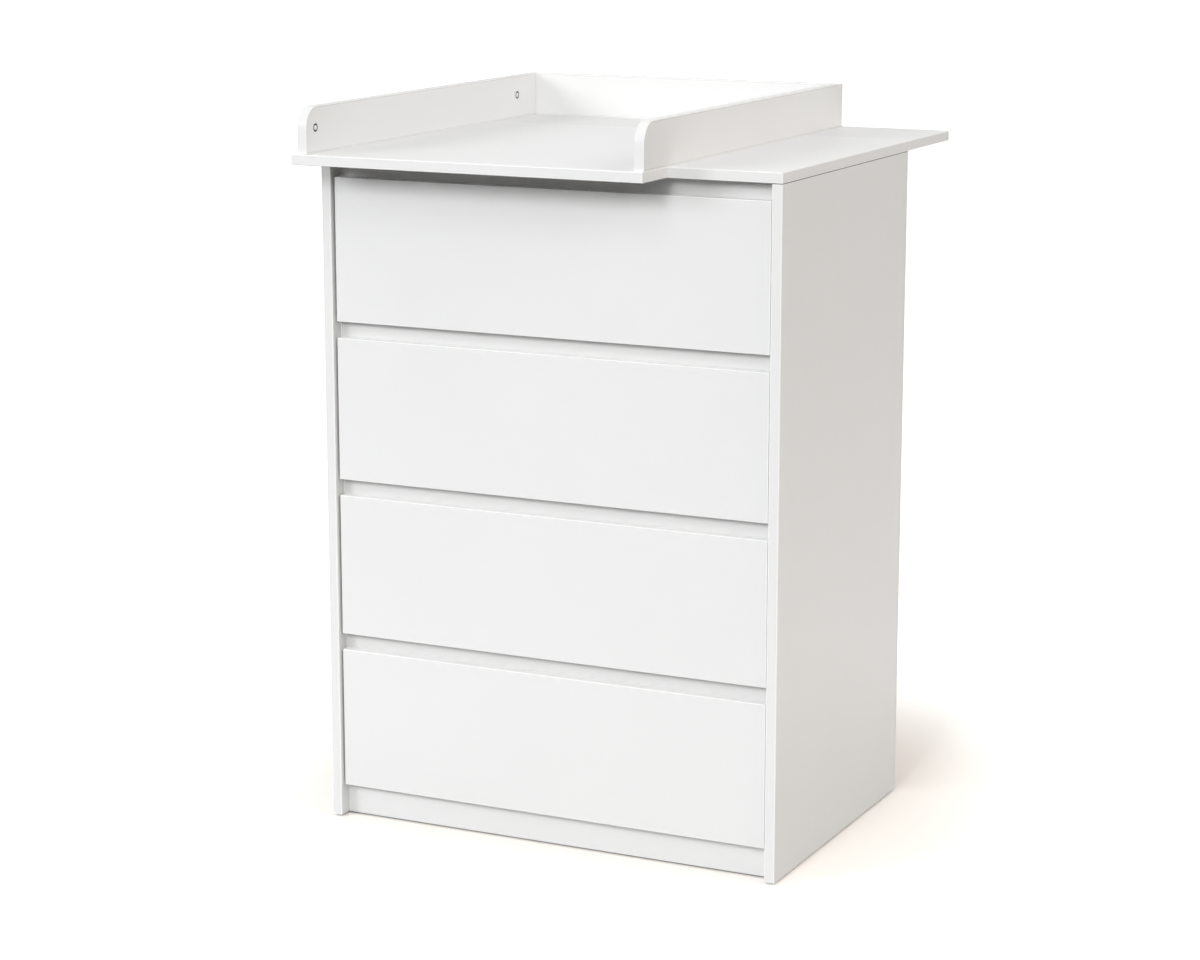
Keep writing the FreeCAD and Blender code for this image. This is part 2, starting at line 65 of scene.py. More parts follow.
# A smooth step from toLow, where value is fromLow, to toHigh, where it is fromHigh
def fade(tree, value, fromLow, fromHigh, toLow=0.0, toHigh=1.0):
    node = addNode(tree, "ShaderNodeMapRange", {
        "Value": value, "From Min": fromLow, "From Max": fromHigh, "To Min": toLow, "To Max": toHigh,
    }, interpolation_type="SMOOTHSTEP")
    return node.outputs["Result"]


def blendColour(tree, amount, first, second, how="MIX"):
    node = addNode(tree, "ShaderNodeMix", data_type="RGBA", blend_type=how)
    feed(tree, node.inputs["Factor"], amount)
    colourSockets = [socket for socket in node.inputs if socket.type == "RGBA"]
    feed(tree, colourSockets[0], first)
    feed(tree, colourSockets[1], second)
    return [socket for socket in node.outputs if socket.type == "RGBA"][0]


def noise(tree, point, scale, detail=3.0, roughness=0.6):
    node = addNode(tree, "ShaderNodeTexNoise", {
        "Vector": point, "Scale": scale, "Detail": detail, "Roughness": roughness,
    })
    return node.outputs["Fac"]


# A middle value that a mask from 0 to 1 moves by half of the width either way
def spread(tree, mask, middle, width):
    return calc(tree, "MULTIPLY_ADD", mask, width, middle - width / 2)


def stretch(tree, point, scale):
    return addNode(tree, "ShaderNodeMapping", {"Vector": point, "Scale": scale}).outputs["Vector"]


def newGroup(name, inputs, outputs):
    tree = bpy.data.node_groups.new(name, "ShaderNodeTree")
    for label, kind, value in inputs:
        socket = tree.interface.new_socket(label, in_out="INPUT", socket_type=kind)
        if value is not None:
            socket.default_value = value
    for label, kind in outputs:
        tree.interface.new_socket(label, in_out="OUTPUT", socket_type=kind)
    start = tree.nodes.new("NodeGroupInput")
    end = tree.nodes.new("NodeGroupOutput")
    return tree, start.outputs, end.inputs


def useGroup(tree, group, **feeds):
    node = addNode(tree, "ShaderNodeGroup", node_tree=group)
    for name, value in feeds.items():
        feed(tree, node.inputs[name], value)
    return node.outputs


vectorSocket = "NodeSocketVector"
valueSocket = "NodeSocketFloat"
colourSocket = "NodeSocketColor"

# Where a board has its arrises, its edging, the glue line between edging and face, and its raw core.
# Low and High are the board's corners; Notch is the inner corner of a top that is cut away at its
# front right; Corner is the radius of a rounded top front corner; CoreFrom is the height that the
# wrapped bevel at the foot of a drawer front ends at. farAway stands for a notch, core or joint that
# a board doesn't have.
farAway = 100.0
edgeLook = {
    "arris": 0.0017,
    "edging": 0.0009,
    "face": 0.0003,  # this deep still counts as the face
    "glueLineAt": 0.0019,  # from the arris
    "glueLineWidth": 0.0003,
    "skin": 0.0006,
    "skinBlend": 0.0001,
}


def makeBoardEdges():
    look = edgeLook
    tree, given, result = newGroup("boardEdges", [
        ("Point", vectorSocket, None),
        ("Low", vectorSocket, None),
        ("High", vectorSocket, None),
        ("Notch", vectorSocket, (farAway, -farAway, 0)),
        ("Corner", valueSocket, 0.0),
        ("ThinAxis", vectorSocket, (0, 0, 1)),
        ("CoreFrom", valueSocket, -farAway),
        ("LineWidth", valueSocket, look["glueLineWidth"]),
    ], [("Arris", valueSocket), ("Edging", valueSocket), ("GlueLine", valueSocket), ("Core", valueSocket)])

    x, y, z = split(tree, given["Point"])
    lowX, lowY, lowZ = split(tree, given["Low"])
    highX, highY, highZ = split(tree, given["High"])
    notchX, notchY = split(tree, given["Notch"])[:2]

    # the outline steps in at the notch
    beforeNotch = calc(tree, "LESS_THAN", y, notchY)
    besideNotch = calc(tree, "GREATER_THAN", x, notchX)
    rightX = calc(tree, "MULTIPLY_ADD", calc(tree, "SUBTRACT", notchX, highX), beforeNotch, highX)
    frontY = calc(tree, "MULTIPLY_ADD", calc(tree, "SUBTRACT", notchY, lowY), besideNotch, lowY)

    depthX = calc(tree, "MINIMUM", calc(tree, "SUBTRACT", x, lowX), calc(tree, "SUBTRACT", rightX, x))
    depthY = calc(tree, "MINIMUM", calc(tree, "SUBTRACT", y, frontY), calc(tree, "SUBTRACT", highY, y))
    depthZ = calc(tree, "MINIMUM", calc(tree, "SUBTRACT", z, lowZ), calc(tree, "SUBTRACT", highZ, z))

    # inside the square of a rounded corner the depth is measured from its arc
    arcY = calc(tree, "SUBTRACT", y, calc(tree, "ADD", lowY, given["Corner"]))
    arcZ = calc(tree, "SUBTRACT", z, calc(tree, "SUBTRACT", highZ, given["Corner"]))
    beforeArc = calc(tree, "LESS_THAN", arcY, 0.0)
    aboveArc = calc(tree, "GREATER_THAN", arcZ, 0.0)
    inCorner = calc(tree, "MULTIPLY", beforeArc, aboveArc)
    squares = calc(tree, "ADD", calc(tree, "MULTIPLY", arcY, arcY), calc(tree, "MULTIPLY", arcZ, arcZ))
    arcDepth = calc(tree, "SUBTRACT", given["Corner"], calc(tree, "SQRT", squares))
    depthY = calc(tree, "MULTIPLY_ADD", calc(tree, "SUBTRACT", arcDepth, depthY), inCorner, depthY)
    depthZ = calc(tree, "ADD", depthZ, inCorner)

    # nearest face, and the next nearest, which is the distance to the arris
    lesser = calc(tree, "MINIMUM", depthX, depthY)
    greater = calc(tree, "MAXIMUM", depthX, depthY)
    nearest = calc(tree, "MINIMUM", lesser, depthZ)
    toArris = calc(tree, "MAXIMUM", lesser, calc(tree, "MINIMUM", greater, depthZ))
    depths = addNode(tree, "ShaderNodeCombineXYZ", {"X": depthX, "Y": depthY, "Z": depthZ})
    thinDepth = vectorCalc(tree, "DOT_PRODUCT", depths.outputs["Vector"], given["ThinAxis"])

    cuttable = calc(tree, "GREATER_THAN", z, given["CoreFrom"])
    underSkin = fade(tree, nearest, look["skin"] - look["skinBlend"], look["skin"] + look["skinBlend"])
    core = calc(tree, "MULTIPLY", underSkin, cuttable)
    skin = calc(tree, "SUBTRACT", 1.0, core)
    fromLine = calc(tree, "ABSOLUTE", calc(tree, "SUBTRACT", toArris, look["glueLineAt"]))
    line = fade(tree, fromLine, 0.0, given["LineWidth"], 1.0, 0.0)
    onFace = calc(tree, "LESS_THAN", thinDepth, look["face"])
    arris = fade(tree, toArris, look["arris"] / 2, look["arris"], 1.0, 0.0)
    edging = fade(tree, thinDepth, look["face"], look["edging"])
    feed(tree, result["Arris"], calc(tree, "MULTIPLY", arris, skin))
    feed(tree, result["Edging"], calc(tree, "MULTIPLY", edging, skin))
    feed(tree, result["GlueLine"], calc(tree, "MULTIPLY", calc(tree, "MULTIPLY", line, onFace), skin))
    feed(tree, result["Core"], core)
    return tree


# Painted shade along a joint: a dark line where two boards meet, standing for the shadow in the groove
# between their eased arrises. Axis and Level give the plane of the joint
jointLook = {"width": 0.001, "fullWithin": 0.3}  # full shade within this share of the width


def makeJointShadeLine():
    tree, given, result = newGroup("jointShadeLine", [
        ("Point", vectorSocket, None),
        ("Axis", vectorSocket, (0, 0, 1)),
        ("Level", valueSocket, farAway),
        ("Width", valueSocket, jointLook["width"]),
    ], [("Shade", valueSocket)])
    along = vectorCalc(tree, "DOT_PRODUCT", given["Point"], given["Axis"])
    away = calc(tree, "ABSOLUTE", calc(tree, "SUBTRACT", along, given["Level"]))
    share = calc(tree, "DIVIDE", away, given["Width"])
    feed(tree, result["Shade"], fade(tree, share, jointLook["fullWithin"], 1.0, 1.0, 0.0))
    return tree


# Fine pressed texture of a melamine or foil face, with a little drift in tone and gloss
pressLook = {
    "pearl": 850.0,
    "press": 60.0,
    "pressHeight": 0.35,
    "cloud": 5.0,
    "cloudRange": (0.25, 0.75),
    "lowTone": 0.985,
    "pressGloss": 0.5,
    "cloudGloss": 0.5,
}


def makeMelamineSkin():
    look = pressLook
    tree, given, result = newGroup("melamineSkin", [
        ("Point", vectorSocket, None),
        ("PearlScale", valueSocket, look["pearl"]),
    ], [("Height", valueSocket), ("Tone", valueSocket), ("Gloss", valueSocket)])
    pearl = noise(tree, given["Point"], given["PearlScale"], roughness=0.55)
    press = noise(tree, given["Point"], look["press"], detail=2.0, roughness=0.5)
    cloud = noise(tree, given["Point"], look["cloud"], roughness=0.5)
    feed(tree, result["Height"], calc(tree, "MULTIPLY_ADD", press, look["pressHeight"], pearl))
    feed(tree, result["Tone"], fade(tree, cloud, *look["cloudRange"], look["lowTone"], 1.0))
    cloudGloss = calc(tree, "MULTIPLY", cloud, look["cloudGloss"])
    feed(tree, result["Gloss"], calc(tree, "MULTIPLY_ADD", press, look["pressGloss"], cloudGloss))
    return tree


# Dust that settles on faces that look up, and small rubs along the arrises
dustLook = {
    "patches": 9.0,
    "patchRange": (0.42, 0.7),
    "patchShare": 0.5,
    "specks": 520.0,
    "speckRange": (0.5, 0.68),
    "speckShare": 0.5,
    "upwardRange": (0.5, 0.95),  # of the normal's height
    "rubs": 75.0,
    "rubRange": (0.56, 0.72),
}


def makeDustAndRubs():
    look = dustLook
    tree, given, result = newGroup("dustAndRubs", [
        ("Point", vectorSocket, None),
        ("Normal", vectorSocket, None),
        ("Arris", valueSocket, 0.0),
    ], [("Dust", valueSocket), ("Rub", valueSocket)])
    patches = noise(tree, given["Point"], look["patches"], detail=4.0)
    patches = fade(tree, patches, *look["patchRange"])
    specks = noise(tree, given["Point"], look["specks"], detail=2.0, roughness=0.5)
    specks = fade(tree, specks, *look["speckRange"])
    upward = fade(tree, split(tree, given["Normal"])[2], *look["upwardRange"])
    both = calc(tree, "MULTIPLY", patches, look["patchShare"])
    both = calc(tree, "MULTIPLY_ADD", specks, look["speckShare"], both)
    feed(tree, result["Dust"], calc(tree, "MULTIPLY", upward, both))
    rubs = fade(tree, noise(tree, given["Point"], look["rubs"]), *look["rubRange"])
    feed(tree, result["Rub"], calc(tree, "MULTIPLY", rubs, given["Arris"]))
    return tree


# Pressed wood chips, as a cut or drilled board shows them
chipLook = {"scale": 700.0, "dark": (0.20, 0.12, 0.06, 1), "light": (0.56, 0.40, 0.24, 1)}


def makeChipboardCore():
    tree, given, result = newGroup("chipboardCore", [
        ("Point", vectorSocket, None),
    ], [("Chips", colourSocket), ("Height", valueSocket)])
    cells = addNode(tree, "ShaderNodeTexVoronoi", {
        "Vector": given["Point"], "Scale": chipLook["scale"],
    }, feature="F1")
    chip = addNode(tree, "ShaderNodeSeparateColor", {"Color": cells.outputs["Color"]}).outputs["Red"]
    feed(tree, result["Chips"], blendColour(tree, chip, chipLook["dark"], chipLook["light"]))
    feed(tree, result["Height"], cells.outputs["Distance"])
    return tree


# Rough metal or plastic skin: cast grain, plating or orange peel by its scale
roughLook = {"grain": 900.0, "patches": 140.0}


def makeRoughSkin():
    tree, given, result = newGroup("roughSkin", [
        ("Point", vectorSocket, None),
        ("GrainScale", valueSocket, roughLook["grain"]),
    ], [("Height", valueSocket), ("Patch", valueSocket)])
    feed(tree, result["Height"], noise(tree, given["Point"], given["GrainScale"]))
    feed(tree, result["Patch"], noise(tree, given["Point"], roughLook["patches"]))
    return tree


boardEdges = makeBoardEdges()
jointShadeLine = makeJointShadeLine()
melamineSkin = makeMelamineSkin()
dustAndRubs = makeDustAndRubs()
chipboardCore = makeChipboardCore()
roughSkin = makeRoughSkin()
print("surface groups made:", len(bpy.data.node_groups))


# A material starts with its shader, on which values that are the same all over are set. The place
# that comes back has the outputs of its Texture Coordinate node.
def newMaterial(name, **shaderValues):
    material = bpy.data.materials.new(name)
    material.use_nodes = True
    tree = material.node_tree
    shader = tree.nodes["Principled BSDF"]
    for label, value in shaderValues.items():
        shader.inputs[label.replace("_", " ")].default_value = value
    return material, tree, shader, addNode(tree, "ShaderNodeTexCoord").outputs


# Each look holds the distance and the strength of its bumps
def roughen(tree, shader, height, look):
    bump = addNode(tree, "ShaderNodeBump", {
        "Height": height, "Distance": look["bumpDistance"], "Strength": look["bumpStrength"],
    })
    tree.links.new(bump.outputs["Normal"], shader.inputs["Normal"])


def finish(part, material):
    for slot in parts[part].material_slots:
        slot.material = material


# Boards: white melamine-faced chipboard with white edging, and a painted highlight along the arrises. Joints
# are planes where another board meets this one: an axis, the board's low or high side, and how dark the
# painted shade along the joint is.
boardLook = {
    "faceColour": (0.81, 0.81, 0.807, 1),
    "edgingColour": (0.842, 0.842, 0.840, 1),
    "arrisHighlightColour": (0.98, 0.98, 0.978, 1),
    "glueColour": (0.62, 0.61, 0.59, 1),
    "dustColour": (0.80, 0.79, 0.77, 1),
    "jointShadeColour": (0.10, 0.098, 0.095, 1),
    "specular": 0.42,
    "roughness": 0.42,
    "glossRange": 0.10,
    "arrisPolish": 0.08,
    "coreDullness": 0.4,
    "pearlScale": 850.0,
    "bumpDistance": 0.00006,
    "bumpStrength": 0.35,
    "glueAmount": 0.2,
    "glueWidth": 0.0003,
    "glueDepth": 0.8,  # times the height of the pressed texture
    "rubAmount": 0.12,
    "dustAmount": 0.10,
    "notched": False,
    "corner": 0.0,
    "wrappedFoot": 0.0,
    "joints": (),
}
# painted shade along the side panels' top arris and along the whole lower arris of the top, its overhang
# included
panelLook = dict(boardLook, joints=(("z", "high", 0.95),))
# painted light: the top's face is lighter than the side panels' white
topLook = dict(boardLook, faceColour=(0.87, 0.87, 0.867, 1), notched=True, joints=(("z", "low", 0.95),))
frontLook = dict(
    boardLook,
    faceColour=(0.845, 0.845, 0.845, 1),
    # painted light: the fronts' edges are lighter than their faces, to lift their shaded top edges
    edgingColour=(0.93, 0.93, 0.93, 1),
    roughness=0.40,
    wrappedFoot=0.018,
    glueAmount=0.0,
)
# painted light: the tray rails' faces are lighter than the side panels' white
railLook = dict(
    boardLook,
    faceColour=(0.835, 0.835, 0.832, 1),
    arrisHighlightColour=(0.88, 0.88, 0.878, 1),
    corner=0.030,
    glueAmount=0.9,
    glueWidth=0.0006,
)
# painted light: the plinth's face is lighter than the side panels' white, against the shade of its recess
plinthLook = dict(boardLook, faceColour=(0.84, 0.84, 0.838, 1))
# painted shade: the crossrails and stretchers behind the fronts are darker than the same white elsewhere
innerLook = dict(boardLook, faceColour=(0.75, 0.75, 0.745, 1), dustAmount=0.2)
boxLook = dict(
    boardLook,
    faceColour=(0.80, 0.80, 0.79, 1),
    edgingColour=(0.78, 0.78, 0.77, 1),
    pearlScale=500.0,
    roughness=0.5,
)
boardLooks = {
    "side_panel": panelLook,
    "top_board": topLook,
    # painted light: the rear extension's face is lighter than the side panels' white and darker than the
    # top's
    "rear_extension_board": dict(boardLook, faceColour=(0.85, 0.85, 0.847, 1)),
    "tray_rail_left": railLook,
    "tray_rail_right": railLook,
    # painted shade: the back rail's face is darker than the other rails'
    "tray_rail_back": dict(railLook, faceColour=(0.795, 0.795, 0.792, 1), corner=0.0),
    "plinth_board": plinthLook,
    "drawer_front": frontLook,
    "drawer_side": boxLook,
    "drawer_back": boxLook,
    "crossrail": innerLook,
    "rear_stretcher": innerLook,
}


def boardMaterial(part, look):
    low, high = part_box(part)
    sides = high - low
    thin = min(range(3), key=lambda axis: sides[axis])
    shape = {
        "Low": low,
        "High": high,
        "ThinAxis": [float(axis == thin) for axis in range(3)],
        "LineWidth": look["glueWidth"],
    }
    if look["notched"]:
        # the tongue ends with the right tray rail, and the board steps back to the side panels' front
        shape["Notch"] = (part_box("tray_rail_right")[1].x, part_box("side_panel_right")[0].y, 0)
    if look["corner"]:
        shape["Corner"] = look["corner"]
    if look["wrappedFoot"]:
        shape["CoreFrom"] = low.z + look["wrappedFoot"]

    material, tree, shader, place = newMaterial(part + "_finish", Specular_IOR_Level=look["specular"])
    point = place["Object"]
    edges = useGroup(tree, boardEdges, Point=point, **shape)
    skin = useGroup(tree, melamineSkin, Point=point, PearlScale=look["pearlScale"])
    use = useGroup(tree, dustAndRubs, Point=point, Normal=place["Normal"], Arris=edges["Arris"])
    core = useGroup(tree, chipboardCore, Point=point)
    joint = 0.0
    for axis, side, amount in look["joints"]:
        across = "xyz".index(axis)
        plane = [float(number == across) for number in range(3)]
        level = {"low": low, "high": high}[side][across]
        line = useGroup(tree, jointShadeLine, Point=point, Axis=plane, Level=level)
        joint = calc(tree, "MAXIMUM", joint, calc(tree, "MULTIPLY", line["Shade"], amount))

    colour = blendColour(tree, edges["Edging"], look["faceColour"], look["edgingColour"])
    colour = blendColour(tree, 1.0, colour, skin["Tone"], "MULTIPLY")
    # painted highlight: the arrises are lighter than the face
    colour = blendColour(tree, edges["Arris"], colour, look["arrisHighlightColour"])
    for mask, amount, tint in (
        (edges["GlueLine"], look["glueAmount"], look["glueColour"]),
        (use["Rub"], look["rubAmount"], look["glueColour"]),
        (use["Dust"], look["dustAmount"], look["dustColour"]),
    ):
        colour = blendColour(tree, calc(tree, "MULTIPLY", mask, amount), colour, tint)
    colour = blendColour(tree, edges["Core"], colour, core["Chips"])
    # painted shade along the joints
    if look["joints"]:
        colour = blendColour(tree, joint, colour, look["jointShadeColour"])
    tree.links.new(colour, shader.inputs["Base Color"])

    dull = spread(tree, skin["Gloss"], look["roughness"], look["glossRange"])
    dull = calc(tree, "MULTIPLY_ADD", edges["Arris"], -look["arrisPolish"], dull)
    dull = calc(tree, "MULTIPLY_ADD", use["Dust"], look["dustAmount"], dull)
    dull = calc(tree, "MULTIPLY_ADD", edges["Core"], look["coreDullness"], dull, clamp=True)
    tree.links.new(dull, shader.inputs["Roughness"])

    height = calc(tree, "MULTIPLY_ADD", edges["GlueLine"], -look["glueDepth"], skin["Height"])
    height = calc(tree, "MULTIPLY_ADD", edges["Core"], core["Height"], height)
    roughen(tree, shader, height, look)
    return material


for start, look in boardLooks.items():
    for part in parts:
        if part.startswith(start):
            finish(part, boardMaterial(part, look))
print("boards finished")


# Hardboard: lacquered on its good side, brown fibre on the other and at its edges
hardboardLook = {
    "lacquer": (0.80, 0.80, 0.785, 1),
    "fibreDark": (0.20, 0.115, 0.055, 1),
    "fibreLight": (0.33, 0.205, 0.11, 1),
    "roughness": 0.46,
    "fibreRoughness": 0.82,
    "glossRange": 0.06,
    "pearlScale": 420.0,
    "fibreScale": 900.0,
    "fibreStretch": (1.0, 1.0, 0.35),
    "fibreShare": 0.6,
    "clumpScale": 110.0,
    "clumpShare": 0.4,
    "brownRange": (0.35, 0.65),
    "bumpDistance": 0.00008,
    "bumpStrength": 0.4,
}


def hardboardMaterial(name, goodSide):
    look = hardboardLook
    material, tree, shader, place = newMaterial(name)
    point = place["Object"]
    good = calc(tree, "GREATER_THAN", vectorCalc(tree, "DOT_PRODUCT", place["Normal"], goodSide), 0.5)
    skin = useGroup(tree, melamineSkin, Point=point, PearlScale=look["pearlScale"])
    alongFibres = stretch(tree, point, look["fibreStretch"])
    fibres = noise(tree, alongFibres, look["fibreScale"], detail=4.0, roughness=0.7)
    clumps = noise(tree, point, look["clumpScale"])
    mixed = calc(tree, "MULTIPLY", fibres, look["fibreShare"])
    mixed = calc(tree, "MULTIPLY_ADD", clumps, look["clumpShare"], mixed)
    brown = blendColour(tree, fade(tree, mixed, *look["brownRange"]), look["fibreDark"], look["fibreLight"])
    lacquer = blendColour(tree, 1.0, look["lacquer"], skin["Tone"], "MULTIPLY")
    tree.links.new(blendColour(tree, good, brown, lacquer), shader.inputs["Base Color"])
    smoother = look["roughness"] - look["fibreRoughness"]
    dull = calc(tree, "MULTIPLY_ADD", good, smoother, look["fibreRoughness"])
    dull = calc(tree, "MULTIPLY_ADD", skin["Gloss"], look["glossRange"], dull)
    tree.links.new(dull, shader.inputs["Roughness"])
    roughen(tree, shader, calc(tree, "ADD", skin["Height"], fibres), look)
    return material


finish("back_panel", hardboardMaterial("back_panel_board", (0, -1, 0)))
bottomBoard = hardboardMaterial("drawer_bottom_board", (0, 0, 1))
for part in parts:
    if part.startswith("drawer_bottom"):
        finish(part, bottomBoard)
print("hardboard finished")


# Runners: powder-coated sheet, worn in streaks along the tracks
coatLook = {
    "colour": (0.80, 0.80, 0.785, 1),
    "worn": (0.55, 0.55, 0.54, 1),
    "roughness": 0.38,
    "glossRange": 0.12,
    "peelScale": 1100.0,
    "streakScale": 420.0,
    "streakStretch": (1.0, 0.04, 1.0),
    "streakRange": (0.62, 0.78),
    "wornAmount": 0.4,
    "bumpDistance": 0.00005,
    "bumpStrength": 0.4,
}


def runnerCoat():
    look = coatLook
    material, tree, shader, place = newMaterial("runner_powder_coat")
    skin = useGroup(tree, roughSkin, Point=place["Object"], GrainScale=look["peelScale"])
    track = noise(tree, stretch(tree, place["Object"], look["streakStretch"]), look["streakScale"])
    worn = calc(tree, "MULTIPLY", fade(tree, track, *look["streakRange"]), look["wornAmount"])
    tree.links.new(blendColour(tree, worn, look["colour"], look["worn"]), shader.inputs["Base Color"])
    dull = spread(tree, skin["Patch"], look["roughness"], look["glossRange"])
    tree.links.new(dull, shader.inputs["Roughness"])
    roughen(tree, shader, skin["Height"], look)
    return material


# Rollers: nylon with turned rings round the axle, which is the middle of the roller
rollerLook = {
    "colour": (0.84, 0.84, 0.80, 1),
    "shade": (0.72, 0.72, 0.68, 1),
    "shadeRange": (0.4, 0.8),
    "roughness": 0.36,
    "glossRange": 0.1,
    "grainScale": 1500.0,
    "ringScale": 260.0,
    "ringWaver": 0.4,
    "ringHeight": 0.5,
    "bumpDistance": 0.00005,
    "bumpStrength": 0.35,
}


def rollerNylon(part):
    look = rollerLook
    low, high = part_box(part)
    material, tree, shader, place = newMaterial(part + "_nylon")
    skin = useGroup(tree, roughSkin, Point=place["Object"], GrainScale=look["grainScale"])
    fromAxle = vectorCalc(tree, "SUBTRACT", place["Object"], (low + high) / 2)
    rings = addNode(tree, "ShaderNodeTexWave", {
        "Vector": fromAxle, "Scale": look["ringScale"], "Distortion": look["ringWaver"],
    }, wave_type="RINGS", rings_direction="X").outputs["Fac"]
    shaded = fade(tree, skin["Patch"], *look["shadeRange"])
    tree.links.new(blendColour(tree, shaded, look["colour"], look["shade"]), shader.inputs["Base Color"])
    tree.links.new(spread(tree, rings, look["roughness"], look["glossRange"]), shader.inputs["Roughness"])
    roughen(tree, shader, calc(tree, "MULTIPLY_ADD", rings, look["ringHeight"], skin["Height"]), look)
    return material


# Glides and caps: moulded plastic with a little dust on top
glideLook = {
    "colour": (0.74, 0.73, 0.70, 1),
    "shade": (0.52, 0.51, 0.49, 1),
    "shadeRange": (0.35, 0.75),
    "roughness": 0.45,
    "glossRange": 0.14,
    "grainScale": 900.0,
    "dustAmount": 0.15,
    "bumpDistance": 0.00004,
    "bumpStrength": 0.3,
}
capLook = dict(
    glideLook,
    colour=(0.92, 0.92, 0.92, 1),
    shade=(0.86, 0.86, 0.86, 1),
    roughness=0.34,
    grainScale=1300.0,
)


def mouldedPlastic(name, look):
    material, tree, shader, place = newMaterial(name)
    skin = useGroup(tree, roughSkin, Point=place["Object"], GrainScale=look["grainScale"])
    use = useGroup(tree, dustAndRubs, Point=place["Object"], Normal=place["Normal"])
    colour = blendColour(tree, fade(tree, skin["Patch"], *look["shadeRange"]), look["colour"], look["shade"])
    colour = blendColour(tree, calc(tree, "MULTIPLY", use["Dust"], look["dustAmount"]), colour, look["shade"])
    tree.links.new(colour, shader.inputs["Base Color"])
    dull = spread(tree, skin["Patch"], look["roughness"], look["glossRange"])
    tree.links.new(dull, shader.inputs["Roughness"])
    roughen(tree, shader, skin["Height"], look)
    return material


powderCoat = runnerCoat()
for part in parts:
    if part == "cabinet_runners" or part.startswith("drawer_runners"):
        finish(part, powderCoat)
    elif part.startswith(("cabinet_rollers", "drawer_rollers")):
        finish(part, rollerNylon(part))
finish("floor_glides", mouldedPlastic("glide_nylon", glideLook))
finish("cam_caps", mouldedPlastic("cap_plastic", capLook))
print("runners, rollers, glides and caps finished")


# Fasteners: zinc-plated steel screws, bolts and nails, dark cast zinc cams, beech dowels
platedLook = {
    "colour": (0.66, 0.66, 0.67, 1),
    "dark": (0.42, 0.42, 0.43, 1),
    "darkRange": (0.4, 0.75),
    "roughness": 0.30,
    "glossRange": 0.2,
    "grainScale": 1600.0,
    "bumpDistance": 0.00004,
    "bumpStrength": 0.45,
}
castLook = dict(
    platedLook,
    colour=(0.13, 0.13, 0.14, 1),
    dark=(0.07, 0.07, 0.075, 1),
    roughness=0.48,
    grainScale=700.0,
)
beechLook = {
    "dark": (0.50, 0.32, 0.17, 1),
    "light": (0.66, 0.47, 0.29, 1),
    "lightRange": (0.35, 0.7),
    "roughness": 0.6,
    "grainScale": 1400.0,
    "grainStretch": (1.0, 0.15, 0.15),
    "bumpDistance": 0.00008,
    "bumpStrength": 0.5,
}


def metalMaterial(name, look):
    material, tree, shader, place = newMaterial(name, Metallic=1.0)
    skin = useGroup(tree, roughSkin, Point=place["Object"], GrainScale=look["grainScale"])
    darkened = fade(tree, skin["Patch"], *look["darkRange"])
    tree.links.new(blendColour(tree, darkened, look["colour"], look["dark"]), shader.inputs["Base Color"])
    dull = spread(tree, skin["Patch"], look["roughness"], look["glossRange"])
    tree.links.new(dull, shader.inputs["Roughness"])
    roughen(tree, shader, skin["Height"], look)
    return material


def beechMaterial():
    look = beechLook
    material, tree, shader, place = newMaterial("beech_dowel_wood", Roughness=look["roughness"])
    rays = noise(tree, stretch(tree, place["Object"], look["grainStretch"]), look["grainScale"])
    colour = blendColour(tree, fade(tree, rays, *look["lightRange"]), look["dark"], look["light"])
    tree.links.new(colour, shader.inputs["Base Color"])
    roughen(tree, shader, rays, look)
    return material


platedSteel = metalMaterial("plated_steel", platedLook)
for part in parts:
    if part in ("cam_bolts", "runner_screws", "back_panel_nails") or part.startswith("drawer_screws"):
        finish(part, platedSteel)
finish("cam_locks", metalMaterial("cast_zinc", castLook))
finish("dowels", beechMaterial())
print("fasteners finished")

plain = sorted(part for part in parts if not all(
    slot.material and slot.material.node_tree.nodes.get("Bump") for slot in parts[part].material_slots))
print("parts without a finish:", plain)


# Floor and surroundings: what is seen of both is white. The floor's seen colour is painted light: a little
# warm near the chest, which tints the chest's shade on it warm, and far brighter away from it, which lifts
# any shade there to white.
# The light that they give the chest is that of a studio with a softly lit band round it.
floorLook = {
    "size": 60.0,
    "seenNear": (1.10, 1.05, 1.0, 1),
    "seenFar": (2.40, 2.40, 2.40, 1),
    "seenChanges": (0.36, 1.10),  # metres from the middle of the chest
    "glow": 0.01,  # of its own, where it is seen
    "bounceNear": (0.55, 0.55, 0.545, 1),
    "bounceFar": (0.02, 0.02, 0.02, 1),
    "bounceChanges": (1.25, 1.75),
}
skyLook = {
    "seen": (1.0, 1.0, 1.0, 1),
    "horizon": (0.0, 0.0, 0.0, 1),
    "front": (1.68, 1.71, 1.73, 1),
    "rear": (0.97, 0.97, 0.97, 1),
    "zenith": (0.20, 0.20, 0.20, 1),
    "frontToRear": (-0.1, 0.1),  # this and the heights below are parts of a unit direction
    "bandStarts": (0.17, 0.25),
    "frontEnds": (0.46, 0.56),
    "rearEnds": (0.78, 0.88),
}


# 1 for rays from the camera and their reflections, 0 for the rays that carry light to the chest
def seenDirectly(tree):
    path = addNode(tree, "ShaderNodeLightPath")
    seen = calc(tree, "MAXIMUM", path.outputs["Is Camera Ray"], path.outputs["Is Glossy Ray"])
    return calc(tree, "MAXIMUM", seen, path.outputs["Is Transmission Ray"])


